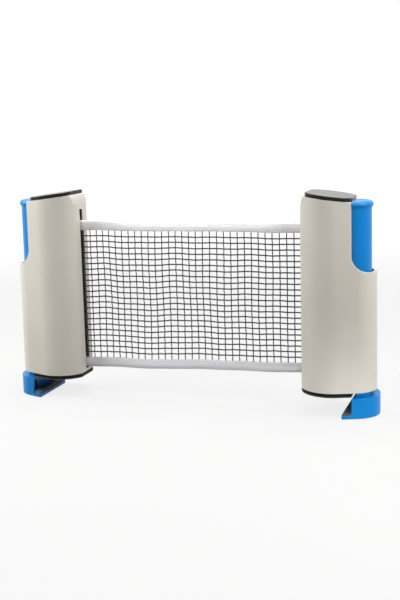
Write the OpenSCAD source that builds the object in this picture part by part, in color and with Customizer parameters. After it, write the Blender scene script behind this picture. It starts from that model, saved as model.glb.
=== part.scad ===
// Retractable table tennis net on two spring-clamp posts.
// +X runs along the net to the right post, -Y faces the viewer, +Z is up.
// The origin lies midway between the posts, level with the undersides of the jaws.
// Each post is drawn in its own frame: x grows outwards from the flat face that the net
// leaves, and z = 0 is the table top that the post stands on.

/* [Net] */
// Length of net that shows between the two posts
net_span = 218; // [120:1:400]
// Height of the net's top edge above the table
net_top = 152.5; // [140:0.5:158]
// Height of the net's bottom edge above the table
net_bottom = 8; // [8:0.5:20]
// Width of the woven tapes along the top and the bottom
tape_w = 9.5; // [6:0.5:15]
// Thickness of the woven tapes
tape_t = 1.6; // [1:0.1:2.4]
// Thickness of the mesh threads
thread_t = 1.2; // [0.8:0.1:2]
// Number of mesh gaps along the net
mesh_columns = 21; // [8:1:25]
// Number of mesh gaps from tape to tape
mesh_rows = 14; // [6:1:14]

/* [Post casing] */
// Radius of the barrel round the roller
barrel_r = 28; // [26:0.5:32]
// Distance from the flat face to the centre of the round outer end
end_centre = 44.5; // [42:0.5:48]
// Radius of the round outer end
end_r = 21.5; // [20:0.5:24]
// Width of the flat face
face_w = 25; // [20:1:30]
// Wall thickness of the casing
wall = 2.4; // [1.6:0.1:3]
// Height of the casing's top edge above the table, at its high end
casing_top = 178; // [176:0.5:200]
// Downward slope of the top, in degrees
top_slope = 7.2; // [3:0.1:9]
// Height over which the flat face leans back to the cap
shoulder_h = 14; // [8:1:16]
// Distance that the shoulder leans back
shoulder_in = 4.5; // [2:0.5:5]
// Width of the slot for the net
slot_w = 6; // [4:0.5:8]
// Height of the slot's lower end above the table
slot_low = 6.5; // [5:0.5:8]
// Height of the slot's upper end above the table
slot_high = 163.5; // [160:0.5:166]
// Height of the bearing floor's underside above the table
floor_z = 160; // [158:0.5:161]
// Thickness of the bearing floor
floor_t = 3; // [2:0.5:4]

/* [Handle notch] */
// Depth of the notch, measured in from the outer end
notch_depth = 19.5; // [17:0.5:20]
// Height of the notch's floor above the table
notch_floor = 111; // [106:1:120]
// Radius of the notch's lower corner
notch_r = 16; // [10:1:19]
// Thickness of the stop ledge above the clamp's collar
ledge_t = 3; // [2:0.5:4]

/* [Cap] */
// Thickness of the cap
cap_t = 3.5; // [2.5:0.5:6]
// Inset of the cap from the casing's outer face
cap_inset = 1.2; // [0.5:0.1:2]
// Depth of the skirt that plugs into the casing
skirt_h = 5; // [3:0.5:7]
// Wall thickness of the skirt
skirt_t = 1.8; // [1.2:0.1:2.5]

/* [Base] */
// Thickness of the rubber base pad
pad_t = 1.2; // [0.8:0.1:2]
// Thickness of the base plate
base_t = 2.8; // [2.4:0.1:4]
// Distance from the flat face to the base plate's outer edge
base_len = 47; // [46.5:0.5:47]
// Inset of the base pad from the base plate's edge
pad_inset = 0.4; // [0:0.1:2]
// Width of the tongue that carries the spring
tongue_w = 8.4; // [7:0.2:9]
// Thickness left under the blind holes of the base plate
hole_floor = 1; // [0.6:0.1:1.4]
// Radius of the boss that holds the axle
boss_r = 6; // [5:0.5:7]
// Height of the boss above the base plate
boss_h = 3.5; // [2:0.5:3.5]

/* [Clamp] */
// Radius of the handle, about the centre of the casing's round end
handle_r = 17; // [16:0.5:17.5]
// Height of the handle's top above the table
handle_top = 173; // [165:0.5:176]
// Thickness of the thumb flange
flange_t = 6; // [4:0.5:8]
// Overhang of the thumb flange
flange_out = 1.5; // [1:0.1:2.5]
// Height of the handle's foot above the table
handle_foot = 44; // [42:1:50]
// Height of the collar's top above the table
collar_top = 100; // [94:1:102]
// Wall thickness round the handle's pocket
pocket_wall = 2.5; // [2:0.1:3]
// Height of the pocket's ceiling above the table
pocket_top = 84; // [80:1:90]
// Travel of the clamp
clamp_travel = 28; // [20:1:32]
// Total height of the jaw
jaw_drop = 18.5; // [16:0.5:26]
// Distance that the jaw stands proud of the casing
jaw_proud = 3; // [2:0.5:4]
// Wall thickness of the jaw
jaw_wall = 3; // [2:0.5:4]
// Distance from the flat face to the jaw's stop wall
jaw_stop = 47.5; // [47.2:0.1:48]
// Reach of the jaw's lip inwards from its stop wall
jaw_lip = 9; // [7:0.5:16]
// Thickness of the jaw's rubber pad
jaw_pad_t = 2.5; // [1.5:0.5:4]
// Inset of the jaw's rubber pad from the lip's edge
jaw_pad_inset = 1; // [0.5:0.1:3]
// Height of the jaw's neck above the table
neck_top = 8; // [5:0.5:12]
// Room above the jaw's legs in the handle's pocket
leg_room = 4; // [2:0.5:8]

/* [Roller] */
// Radius of the axle
axle_r = 2.5; // [2:0.1:2.8]
// Outer radius of the roller's core
core_r = 8; // [7.5:0.5:10]
// Wall thickness of the roller's core
core_t = 2.6; // [2:0.1:2.8]
// End play of the roller's core
core_play = 0.5; // [0.3:0.1:1]
// Length of the axle above the bearing floor
axle_out = 3; // [2:0.5:4]
// Thickness of the clip on the axle
clip_t = 1; // [0.6:0.1:1.5]
// Width of the clip's ring
clip_w = 2.5; // [1.5:0.1:3]
// Outer radius of the wound net
roll_r = 17.5; // [14:0.5:18]
// Length of each bush
bush_h = 12; // [6:1:16]
// Radius of the bar that holds the net's far end
anchor_r = 4; // [3:0.5:5]

/* [Fasteners and springs] */
// Radius of a base screw's shank
screw_r = 1.3; // [1:0.1:1.5]
// Length of a base screw's shank
screw_len = 13; // [8:1:14]
// Radius of a screw head
head_r = 2.4; // [2:0.1:2.6]
// Height of a screw head
head_h = 1.5; // [1:0.1:1.7]
// Radius of a screw boss
screw_boss_r = 2.8; // [2.4:0.1:3]
// Overlap of a screw boss with the walls in its corner
boss_bite = 0.2; // [0.1:0.1:0.5]
// Length of a jaw screw's shank inside the jaw's leg
jaw_thread = 2.6; // [2:0.1:2.8]
// Plastic left beside and beyond a jaw screw in the leg
thread_wall = 1.2; // [1:0.1:1.5]
// Mean radius of the clamp spring
spring_r = 2.6; // [2.4:0.1:2.8]
// Wire radius of the springs
wire_r = 0.45; // [0.3:0.05:0.5]
// Turns of the clamp spring
spring_turns = 18; // [8:1:22]
// Turns of the rewind spring
rewind_turns = 16; // [8:1:20]

/* [Clearances] */
// Gap between the clamp and the casing it slides in
slide_gap = 0.4; // [0.3:0.05:0.6]
// Gap between fixed neighbours
rest_gap = 0.3; // [0.2:0.05:0.4]
// Radial gap of a running or close fit
fit_gap = 0.05; // [0.02:0.01:0.1]
// Gap between the jaw and the base plate above it
jaw_gap = 0.5; // [0.4:0.1:1]
// Gap between the jaw's neck and legs and the casing and tongue beside them
neck_gap = 1; // [0.5:0.1:1.5]
// Room beyond a screw's tip
screw_room = 0.5; // [0.3:0.1:1]
// Gap between the clamp spring and its guide rod
rod_gap = 0.55; // [0.4:0.05:0.7]

/* [Hidden] */
$fn = 96;
BIG = 400;
// How far a cut runs past the face that it opens, and a joined solid into its neighbour
OVER = 1;
// How far the straight sides lie inside the tangent of the two circles that they join
HAIR = 0.01;
// Centre of the barrel, and the angle at which its sides run in to the round end
barrel_x = sqrt(pow(barrel_r, 2) - pow(face_w / 2, 2));
side_turn = asin((barrel_r - end_r) / (end_centre - barrel_x));
post_len = end_centre + end_r;
notch_x = post_len - notch_depth;
casing_low = pad_t + base_t;
floor_top = floor_z + floor_t;
// Half the width inside the walls at distance x from the flat face
function inside(x) = x < barrel_x + (barrel_r - wall) * sin(side_turn)
    ? sqrt(pow(barrel_r - wall, 2) - pow(x - barrel_x, 2))
    : (barrel_r - wall - (x - barrel_x) * sin(side_turn)) / cos(side_turn);
// Screw bosses stand in the four corners of the roller's chamber
near_x = wall + screw_boss_r - boss_bite;
far_x = notch_x - wall - screw_boss_r + boss_bite;
boss_near = [near_x, inside(near_x) - screw_boss_r + boss_bite];
boss_far = [far_x, inside(far_x) - screw_boss_r + boss_bite];
screw_z = pad_t + fit_gap;
screw_top = screw_z + head_h + screw_len;
boss_top = screw_top + screw_room + wall;
// Clamp
channel_r = end_r - wall;
back_x = notch_x + slide_gap;
pocket_r = handle_r - pocket_wall;
pocket_x = back_x + pocket_wall;
leg_x = pocket_x + slide_gap;
leg_r = pocket_r - slide_gap;
leg_y = tongue_w / 2 + neck_gap;
leg_top = pocket_top - leg_room;
neck_r = channel_r - neck_gap;
spring_x = (pocket_x + end_centre + pocket_r) / 2;
rod_r = spring_r - wire_r - rod_gap;
rod_top = pocket_top - clamp_travel - rest_gap;
jaw_top = -jaw_gap;
jaw_low = -jaw_drop;
lip_x = jaw_stop - jaw_lip;
jaw_screw_y = leg_y + thread_wall + screw_r;
jaw_screw_z = (handle_foot + leg_top) / 2;
jaw_screw_tip = leg_x + jaw_thread;
// Roller and net
roller_x = notch_x / 2;
core_low = casing_low + boss_h + core_play;
core_high = floor_z - core_play;
bush_r = core_r - core_t - fit_gap;
anchor_x = roller_x;
axle_top = floor_top + axle_out;
net_in_left = roller_x - roll_r - rest_gap;
net_in_right = anchor_x - anchor_r - rest_gap;
net_len = net_span + net_in_left + net_in_right;

GREIGE = [0.72, 0.70, 0.67];
UMBER = [0.19, 0.16, 0.15];
BLACK = [0.12, 0.11, 0.12];
BLUE = [0.07, 0.50, 0.86];
RUBBER = [0.25, 0.25, 0.27];
STEEL = [0.72, 0.73, 0.75];
NYLON = [0.88, 0.87, 0.83];
TAPE = [0.86, 0.86, 0.88];
THREAD = [0.13, 0.12, 0.13];

// ---- Placing a post's frame in the model ----

module left_post() {
    translate([-net_span / 2, 0, jaw_drop]) mirror([1, 0, 0]) children();
}

module right_post() {
    translate([net_span / 2, 0, jaw_drop]) children();
}

// ---- Outlines in plan ----

// Half plane strip from x = a to x = b
module strip(a, b) {
    translate([a, -BIG / 2]) square([b - a, BIG]);
}

// The post's outline, moved in by inset, between x = a and x = b
module post_outline(inset, a, b) {
    near = [barrel_x, 0] + (barrel_r - inset - HAIR) * [sin(side_turn), cos(side_turn)];
    far = [end_centre, 0] + (end_r - inset - HAIR) * [sin(side_turn), cos(side_turn)];
    intersection() {
        union() {
            translate([barrel_x, 0]) circle(barrel_r - inset);
            translate([end_centre, 0]) circle(end_r - inset);
            polygon([near, [near.x, -near.y], [far.x, -far.y], far]);
        }
        strip(a, b);
    }
}

// Part of a disc about the round end's centre, beyond x = a
module end_outline(r, a) {
    intersection() {
        translate([end_centre, 0]) circle(r);
        strip(a, BIG);
    }
}

// ---- Shared solids ----

// Everything above the sloping top plane, raised by rise
module above_top(rise) {
    translate([shoulder_in, -BIG / 2, casing_top + rise])
        rotate([0, top_slope, 0])
            translate([-BIG / 2, 0, 0]) cube([BIG, BIG, BIG]);
}

module upright(low, high) {
    translate([0, 0, low]) linear_extrude(high - low) children();
}

// Upright cylinder of radius r at [x, y]
module post_rod(at, r, low, high) {
    translate([at[0], at[1], low]) cylinder(r = r, h = high - low);
}

module at_bosses() {
    for (y = [-1, 1]) {
        translate([boss_near[0], y * boss_near[1], 0]) children();
        translate([boss_far[0], y * boss_far[1], 0]) children();
    }
}

// A round wire wound about Z, with flat ends
module coil(mean_r, wire, low, high, turns, per_turn, sides) {
    steps = turns * per_turn;
    z0 = low + wire;
    rise = high - low - 2 * wire;
    lead = atan(rise / turns / (2 * PI * mean_r));
    ring = [for (i = [0:steps], k = [0:sides - 1])
        let (a = 360 * i / per_turn, b = 360 * k / sides,
             out = mean_r + wire * cos(b), up = wire * sin(b))
        [out * cos(a) + up * sin(lead) * sin(a),
         out * sin(a) - up * sin(lead) * cos(a),
         z0 + rise * i / steps + up * cos(lead)]];
    walls = [for (i = [0:steps - 1], k = [0:sides - 1], half = [0, 1])
        let (p = i * sides + k, q = i * sides + (k + 1) % sides)
        half == 0 ? [p, q, p + sides] : [q, q + sides, p + sides]];
    start = [for (k = [1:sides - 2]) [0, k + 1, k]];
    finish = [for (k = [1:sides - 2])
        [steps * sides, steps * sides + k, steps * sides + k + 1]];
    polyhedron(ring, concat(walls, start, finish), convexity = 10);
}

// ---- Post parts ----

module casing() {
    difference() {
        upright(casing_low, BIG) post_outline(0, 0, post_len);
        above_top(0);
        // Lean of the flat face towards the cap
        translate([0, 0, casing_top - shoulder_h])
            rotate([0, atan(shoulder_in / shoulder_h), 0])
                translate([-BIG, -BIG / 2, 0]) cube([BIG, BIG, BIG]);
        // Chamber of the roller, less the screw bosses
        difference() {
            upright(casing_low - OVER, floor_z) post_outline(wall, wall, notch_x - wall);
            at_bosses() post_rod([0, 0], screw_boss_r, 0, boss_top);
        }
        at_bosses() post_rod([0, 0], screw_r + fit_gap, 0, screw_top + screw_room);
        // Bearing hole and the space under the cap
        post_rod([roller_x, 0], axle_r + fit_gap, floor_z - OVER, BIG);
        upright(floor_top, BIG) post_outline(wall, shoulder_in + wall, notch_x - wall);
        // Channel of the clamp, narrowed at the stop ledge
        upright(casing_low - OVER, collar_top + rest_gap) end_outline(channel_r, notch_x);
        upright(casing_low, BIG) end_outline(handle_r + slide_gap, notch_x);
        upright(collar_top + rest_gap + ledge_t, BIG) end_outline(channel_r, notch_x);
        // Handle notch
        translate([notch_x, -BIG / 2, notch_floor + notch_r]) cube([BIG, BIG, BIG]);
        translate([notch_x + notch_r, 0, notch_floor + notch_r])
            rotate([90, 0, 0]) cylinder(r = notch_r, h = BIG, center = true);
        translate([notch_x + notch_r, -BIG / 2, notch_floor]) cube([BIG, BIG, BIG]);
        // Net slot
        translate([-OVER, -slot_w / 2, slot_low])
            cube([OVER + wall + fit_gap, slot_w, slot_high - slot_low]);
    }
}

module cap() {
    difference() {
        upright(floor_top, BIG)
            post_outline(cap_inset, shoulder_in, notch_x - rest_gap);
        above_top(cap_t);
        difference() {
            upright(0, BIG) post_outline(0, -OVER, post_len);
            above_top(0);
        }
    }
    // Skirt, which reaches up into the plate
    difference() {
        upright(floor_top + rest_gap, BIG) skirt_outline(0);
        upright(floor_top, BIG) skirt_outline(skirt_t);
        above_top(cap_t / 2);
        difference() {
            upright(0, BIG) strip(-BIG / 2, BIG / 2);
            above_top(-skirt_h);
        }
    }
}

// The skirt's outline, which plugs into the casing, moved in by inset
module skirt_outline(inset) {
    gap = rest_gap + inset;
    post_outline(wall + gap, shoulder_in + wall + gap, notch_x - wall - gap);
}

// Way of the clamp's neck down past the base
module neck_way() {
    upright(0, casing_low + OVER) end_outline(neck_r + jaw_gap, leg_x - jaw_gap);
}

module base_plate() {
    difference() {
        union() {
            difference() {
                upright(pad_t, casing_low) post_outline(0, 0, base_len);
                neck_way();
            }
            // Tongue, which starts under the roller and ends below the spring
            upright(pad_t, casing_low) translate([roller_x, -tongue_w / 2])
                square([spring_x + spring_r + wire_r - roller_x, tongue_w]);
            post_rod([roller_x, 0], boss_r, casing_low - OVER, casing_low + boss_h);
        }
        post_rod([roller_x, 0], axle_r + fit_gap, pad_t + hole_floor, BIG);
        post_rod([spring_x, 0], rod_r + fit_gap, pad_t + hole_floor, BIG);
        at_bosses() {
            post_rod([0, 0], screw_r + fit_gap, 0, BIG);
            post_rod([0, 0], head_r + fit_gap, 0, screw_z + head_h + fit_gap);
        }
    }
}

module base_pad() {
    difference() {
        upright(0, pad_t) post_outline(pad_inset, pad_inset, base_len - pad_inset);
        neck_way();
    }
}

module base_screws() {
    at_bosses() {
        post_rod([0, 0], head_r, screw_z, screw_z + head_h);
        post_rod([0, 0], screw_r, screw_z, screw_top);
    }
}

// ---- Clamp parts ----

// Places its children at the two jaw screws, pointing outwards from the handle's back
module at_jaw_screws() {
    for (y = [-1, 1]) translate([back_x, y * jaw_screw_y, jaw_screw_z])
        rotate([0, 90, 0]) children();
}

module handle() {
    difference() {
        union() {
            upright(handle_foot, handle_top) end_outline(handle_r, back_x);
            upright(handle_top - flange_t, handle_top)
                end_outline(handle_r + flange_out, back_x);
            upright(handle_foot, collar_top) end_outline(channel_r - slide_gap, back_x);
        }
        upright(0, pocket_top) end_outline(pocket_r, pocket_x);
        post_rod([spring_x, 0], spring_r + wire_r + rest_gap, 0, pocket_top);
        // Moulded hollow above the pocket, open at the back, with a rib down its middle
        difference() {
            upright(pocket_top + pocket_wall, handle_top - pocket_wall)
                end_outline(pocket_r, back_x - OVER);
            translate([0, -pocket_wall / 2, 0]) cube([BIG, pocket_wall, BIG]);
        }
        at_jaw_screws() {
            translate([0, 0, -OVER])
                cylinder(r = head_r + fit_gap, h = OVER + head_h + 2 * fit_gap);
            cylinder(r = screw_r + fit_gap, h = pocket_wall + OVER);
        }
    }
}

// The two legs, either side of the way for the spring and its tongue
module leg_outline() {
    difference() {
        end_outline(leg_r, leg_x);
        translate([0, -leg_y]) square([BIG, 2 * leg_y]);
    }
}

// The lip's outline, moved in by inset
module lip_outline(inset, end) {
    post_outline(inset - jaw_proud, lip_x + inset, end);
}

module jaw() {
    difference() {
        union() {
            upright(jaw_low, jaw_top) post_outline(-jaw_proud, jaw_stop, BIG);
            upright(jaw_low, jaw_low + jaw_wall) lip_outline(0, jaw_stop + OVER);
            // Recessed neck and the two legs that rise into the handle
            upright(jaw_top - OVER, neck_top) end_outline(neck_r, leg_x);
            upright(jaw_top - OVER, leg_top) leg_outline();
        }
        // Hollow of the jaw, open towards the table, with the legs standing in it
        difference() {
            upright(jaw_low + jaw_wall, jaw_top - jaw_wall)
                post_outline(jaw_wall - jaw_proud, jaw_stop - OVER, BIG);
            upright(jaw_low, jaw_top) leg_outline();
        }
        // Way for the spring and its tongue
        translate([0, -leg_y, jaw_top]) cube([BIG, 2 * leg_y, BIG]);
        at_jaw_screws()
            cylinder(r = screw_r + fit_gap, h = jaw_screw_tip + screw_room - back_x);
    }
}

module jaw_pad() {
    upright(jaw_low + jaw_wall, jaw_low + jaw_wall + jaw_pad_t)
        lip_outline(jaw_pad_inset, jaw_stop);
}

module jaw_screws() {
    at_jaw_screws() translate([0, 0, fit_gap]) {
        cylinder(r = head_r, h = head_h);
        cylinder(r = screw_r, h = jaw_screw_tip - back_x - fit_gap);
    }
}

module clamp_spring() {
    translate([spring_x, 0, 0])
        coil(spring_r, wire_r, casing_low + fit_gap, pocket_top - fit_gap, spring_turns, 10, 6);
}

module spring_rod() {
    post_rod([spring_x, 0], rod_r, pad_t + hole_floor, rod_top);
}

// ---- Roller and net ----

module tube(at, r, bore, low, high) {
    difference() {
        post_rod(at, r, low, high);
        post_rod(at, bore, low - OVER, high + OVER);
    }
}

// A flat bar of the net between two heights, in the model's frame
module net_band(low, high, thickness) {
    translate([-net_span / 2 - net_in_left, -thickness / 2, jaw_drop + low])
        cube([net_len, thickness, high - low]);
}

module left_casing() { color(GREIGE) left_post() casing(); }
module left_cap() { color(UMBER) left_post() cap(); }
module left_base_plate() { color(BLACK) left_post() base_plate(); }
module left_base_pad() { color(RUBBER) left_post() base_pad(); }
module left_base_screws() { color(STEEL) left_post() base_screws(); }
module left_handle() { color(BLUE) left_post() handle(); }
module left_jaw() { color(BLUE) left_post() jaw(); }
module left_jaw_pad() { color(RUBBER) left_post() jaw_pad(); }
module left_jaw_screws() { color(STEEL) left_post() jaw_screws(); }
module left_clamp_spring() { color(STEEL) left_post() clamp_spring(); }
module left_spring_rod() { color(STEEL) left_post() spring_rod(); }

module right_casing() { color(GREIGE) right_post() casing(); }
module right_cap() { color(UMBER) right_post() cap(); }
module right_base_plate() { color(BLACK) right_post() base_plate(); }
module right_base_pad() { color(RUBBER) right_post() base_pad(); }
module right_base_screws() { color(STEEL) right_post() base_screws(); }
module right_handle() { color(BLUE) right_post() handle(); }
module right_jaw() { color(BLUE) right_post() jaw(); }
module right_jaw_pad() { color(RUBBER) right_post() jaw_pad(); }
module right_jaw_screws() { color(STEEL) right_post() jaw_screws(); }
module right_clamp_spring() { color(STEEL) right_post() clamp_spring(); }
module right_spring_rod() { color(STEEL) right_post() spring_rod(); }

module roller_axle() {
    color(STEEL) left_post()
        post_rod([roller_x, 0], axle_r, pad_t + hole_floor, axle_top);
}

module axle_clip() {
    color(STEEL) left_post()
        translate([0, 0, floor_top + fit_gap])
            tube([roller_x, 0], axle_r + clip_w, axle_r + fit_gap, 0, clip_t);
}

module roller_core() {
    color(NYLON) left_post()
        tube([roller_x, 0], core_r, core_r - core_t, core_low, core_high);
}

module roller_bushes() {
    color(BLACK) left_post() {
        tube([roller_x, 0], bush_r, axle_r + fit_gap, core_low, core_low + bush_h);
        tube([roller_x, 0], bush_r, axle_r + fit_gap, core_high - bush_h, core_high);
    }
}

module rewind_spring() {
    color(STEEL) left_post() translate([roller_x, 0, 0])
        coil((axle_r + bush_r) / 2, wire_r, core_low + bush_h + rest_gap,
             core_high - bush_h - rest_gap, rewind_turns, 10, 6);
}

module net_roll() {
    color(TAPE) left_post()
        tube([roller_x, 0], roll_r, core_r + fit_gap, net_bottom, net_top);
}

module net_mesh() {
    low = net_bottom + tape_w;
    high = net_top - tape_w;
    column = (net_len - thread_t) / mesh_columns;
    row = (high - low) / mesh_rows;
    color(THREAD)
        translate([-net_span / 2 - net_in_left, thread_t / 2, jaw_drop + low])
            rotate([90, 0, 0]) linear_extrude(thread_t) difference() {
                square([net_len, high - low]);
                for (i = [0:mesh_columns - 1], k = [0:mesh_rows - 1])
                    translate([thread_t + i * column, thread_t / 2 + k * row])
                        square([column - thread_t, row - thread_t]);
            }
}

module net_top_tape() { color(TAPE) net_band(net_top - tape_w, net_top, tape_t); }
module net_bottom_tape() { color(TAPE) net_band(net_bottom, net_bottom + tape_w, tape_t); }

module net_anchor_bar() {
    color(STEEL) right_post() {
        post_rod([anchor_x, 0], anchor_r, casing_low + boss_h, floor_z);
        post_rod([anchor_x, 0], axle_r, pad_t + hole_floor, axle_top);
    }
}

left_casing();
left_cap();
left_base_plate();
left_base_pad();
left_base_screws();
left_handle();
left_jaw();
left_jaw_pad();
left_jaw_screws();
left_clamp_spring();
left_spring_rod();
roller_axle();
axle_clip();
roller_core();
roller_bushes();
rewind_spring();
net_roll();
net_mesh();
net_top_tape();
net_bottom_tape();
net_anchor_bar();
right_casing();
right_cap();
right_base_plate();
right_base_pad();
right_base_screws();
right_handle();
right_jaw();
right_jaw_pad();
right_jaw_screws();
right_clamp_spring();
right_spring_rod();
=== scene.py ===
import math

import bpy
import numpy as np
from mathutils import Matrix, Vector


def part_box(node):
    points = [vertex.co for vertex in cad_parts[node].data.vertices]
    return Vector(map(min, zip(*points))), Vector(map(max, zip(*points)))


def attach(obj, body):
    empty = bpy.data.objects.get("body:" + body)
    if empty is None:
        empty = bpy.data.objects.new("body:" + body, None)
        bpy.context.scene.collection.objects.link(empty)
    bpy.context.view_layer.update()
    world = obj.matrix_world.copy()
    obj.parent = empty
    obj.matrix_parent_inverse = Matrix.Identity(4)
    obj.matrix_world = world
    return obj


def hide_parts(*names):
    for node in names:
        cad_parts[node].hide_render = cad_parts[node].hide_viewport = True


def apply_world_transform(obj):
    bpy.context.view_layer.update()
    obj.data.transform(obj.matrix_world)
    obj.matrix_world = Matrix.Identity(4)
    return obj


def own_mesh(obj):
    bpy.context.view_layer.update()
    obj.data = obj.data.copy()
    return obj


bl_info = {
    "name": "Table tennis net set",
    "version": (1, 0, 0),
    "blender": (4, 5, 0),
    "location": "3D View > Sidebar > Net Set",
    "description": "Dresses a retractable table tennis net and its two clamp posts",
    "category": "Object",
}

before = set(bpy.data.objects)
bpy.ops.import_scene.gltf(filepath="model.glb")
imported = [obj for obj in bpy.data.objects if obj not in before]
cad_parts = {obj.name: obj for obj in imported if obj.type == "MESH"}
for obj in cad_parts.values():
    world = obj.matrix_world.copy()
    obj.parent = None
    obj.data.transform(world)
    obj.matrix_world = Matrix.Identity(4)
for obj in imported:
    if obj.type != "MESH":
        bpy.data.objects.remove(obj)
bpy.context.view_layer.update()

# Posts are modelled in millimetres in their own frame: x grows outwards from the flat face
# that the net leaves, and z = 0 is the table top that the post stands on.
MM = 0.001
SIDES = {"left": -1, "right": 1}
FLAT_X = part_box("right_casing")[0].x
TABLE_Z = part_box("right_base_pad")[0].z


def post_mm(piece):
    """Lowest and highest corner of one of the right post's nodes, in the post's frame."""
    return [Vector(((c.x - FLAT_X) / MM, c.y / MM, (c.z - TABLE_Z) / MM))
            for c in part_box("right_" + piece)]


CASE_LOW, CASE_HIGH = post_mm("casing")
PAD_LOW, PAD_HIGH = post_mm("base_pad")
GRIP_LOW, GRIP_HIGH = post_mm("handle")
CUSHION_LOW, CUSHION_HIGH = post_mm("jaw_pad")
SPRING_LOW, SPRING_HIGH = post_mm("clamp_spring")
PLATE_HIGH = post_mm("base_plate")[1]
JAW_BOTTOM = post_mm("jaw")[0].z
NET_LOW, NET_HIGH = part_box("net_top_tape")
HEM_LOW, HEM_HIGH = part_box("net_bottom_tape")

# The post's outline: a flat face, a barrel, and sides that run in to a round end
POST_LENGTH = CASE_HIGH.x
BARREL_RADIUS = CASE_HIGH.y
END_RADIUS = 21.5
END_CENTRE = POST_LENGTH - END_RADIUS
FACE_HALF = 12.5
BARREL_X = math.sqrt(BARREL_RADIUS**2 - FACE_HALF**2)
# Sine and cosine of the angle at which the sides run in
TAPER = (BARREL_RADIUS - END_RADIUS) / (END_CENTRE - BARREL_X)
TAPER_COS = math.sqrt(1 - TAPER**2)

# Room round sliding pieces and between fitted ones, and a length past everything
SLIDE, GAP = 0.4, 0.3
FAR = 260.0

WALL = 2.4
CASE_BOTTOM, CASE_TOP = CASE_LOW.z, 178.0
TOP_SLOPE = math.radians(7.2)
SHOULDER_DEPTH, SHOULDER_HEIGHT = 4.5, 22
NOTCH_X, NOTCH_FLOOR, NOTCH_RADIUS = 46.5, 111.0, 16.0
SLOT_HALF, SLOT_LOW, SLOT_HIGH = 3.0, 6.5, 163.5
LID_FLOOR, LID_SHELF = 163.0, 3
LID_EDGE, LID_THICKNESS = 1.2, 3.5
BOSS_X, BOSS_RADIUS, BOSS_TOP = 5.0, 2.8, 19.2
ROLLER_X = NOTCH_X / 2
AXLE_HOLE, AXLE_BOSS = 2.55, 6
ROD_X, ROD_HOLE = 54.2, 1.65
TONGUE_HALF, SEAT_FLOOR = 4.2, 1
HEAD_RADIUS, HEAD_DEPTH = 2.45, 1.6
CHANNEL_RADIUS = END_RADIUS - WALL
COLLAR_TOP, LEDGE = 100.0, 3.0
GRIP_RADIUS, GRIP_BACK, FLANGE = 17.0, NOTCH_X + SLIDE, 6.0
POCKET_RADIUS, POCKET_BACK, POCKET_TOP = 14.5, 49.4, 84.0
LEG_X, LEG_RADIUS, LEG_Y, LEG_TOP = 49.8, 14.1, 5.2, 80.0
SCREW_RADIUS, SCREW_Y, SCREW_Z = 1.35, 7.7, 62.0
JAW_STOP, JAW_TOP, JAW_PROUD, JAW_WALL = 47.5, -0.5, 3.0, 3.0
LIP_X = JAW_STOP - 9.0
NECK_RADIUS, NECK_TOP = CHANNEL_RADIUS - 1.0, 8.0
WIRE_RADIUS, WIRE_TURNS, CLAMP_TRAVEL = 0.45, 18, 28.0

# Lengths of the net in metres
THREAD_REACH, THREAD_MARGIN = 0.004, 0.0004
TAPE_HALF, TAPE_WALL = 0.00085, 0.00040
STITCH_PITCH, STITCH_LENGTH, STITCH_RADIUS = 0.0031, 0.0021, 0.00019
# Distances of a stitch's points from the tape's middle plane
STITCH_LIFT = (0.00078, 0.00090, 0.00094, 0.00090, 0.00078)
CORE_RADIUS, NET_TURNS, TURN_STEPS = 0.0084, 18, 40
# How far from a slot the net lies still, and how much its lower edge rises to the right
CALM_ROOM, RISE = 0.030, 0.0065
# The slack net's waves: each one's share, and its phase along, upwards and at the start
OUT_WAVES = ((0.7, 4.1, 0, 0.6), (0.45, 9.7, 2.4, 2.1), (0.25, 17, 5, 0))
SIDE_WAVES = ((1, 3.1, 7.3, 0), (0.5, 15, 4, 0))
LIFT_WAVES = ((1, 8.2, 2, 1.3), (0.6, 19, -3, 0))
EDGE_WAVES = ((1, 6.2, 0, 0.4),)

# Each lamp's name, place, aim, width, height, power in watts and spread in degrees
LAMPS = (("left softbox", (-0.56, -0.2, 0.4), (-0.1, 0, 0.14), 0.4, 0.3, 5.3, 180),
         ("right softbox", (0.56, -0.16, 0.48), (0.1, 0, 0.16), 0.4, 0.3, 4.7, 180),
         ("front softbox", (0, -0.5, 0.85), (0, 0, 0.2), 0.6, 0.3, 2.3, 180),
         ("net lamp", (0, -0.6, 0.24), (0, 0, 0.12), 0.12, 0.1, 0.026, 20),
         ("foot lamp", (0.36, -0.5, 0.12), (0.158, 0, -0.006), 0.12, 0.1, 0.028, 14),
         ("top softbox", (0, 0.15, 1.1), (0, 0, 0), 1.0, 0.6, 14, 180))
CAMERA_PLACE = (0.305, -0.872, 0.2745)
# Turn to the left, turn down and roll, in degrees
CAMERA_TURNS = (18.644, 8.558, -1.510)
LENS, SENSOR, SHIFT = 59.93, 36, -0.0683
# Rays that see the white surround, through the floor
SEEING = ("Is Camera Ray", "Is Transmission Ray", "Is Glossy Ray")
WHITE = 1.08


# ---- The user's sizes and colours ----


def colour_of(name, what, default):
    """A colour that the user can set."""
    return bpy.props.FloatVectorProperty(
        name=name, description="Colour of the " + what, subtype="COLOR", size=3, min=0, max=1,
        default=default)


def number(name, what, default, low, high, **more):
    """A number that the user can set, whole if its default is."""
    kind = bpy.props.IntProperty if isinstance(default, int) else bpy.props.FloatProperty
    return kind(name=name, description=what, default=default, min=low, max=high, **more)


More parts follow.
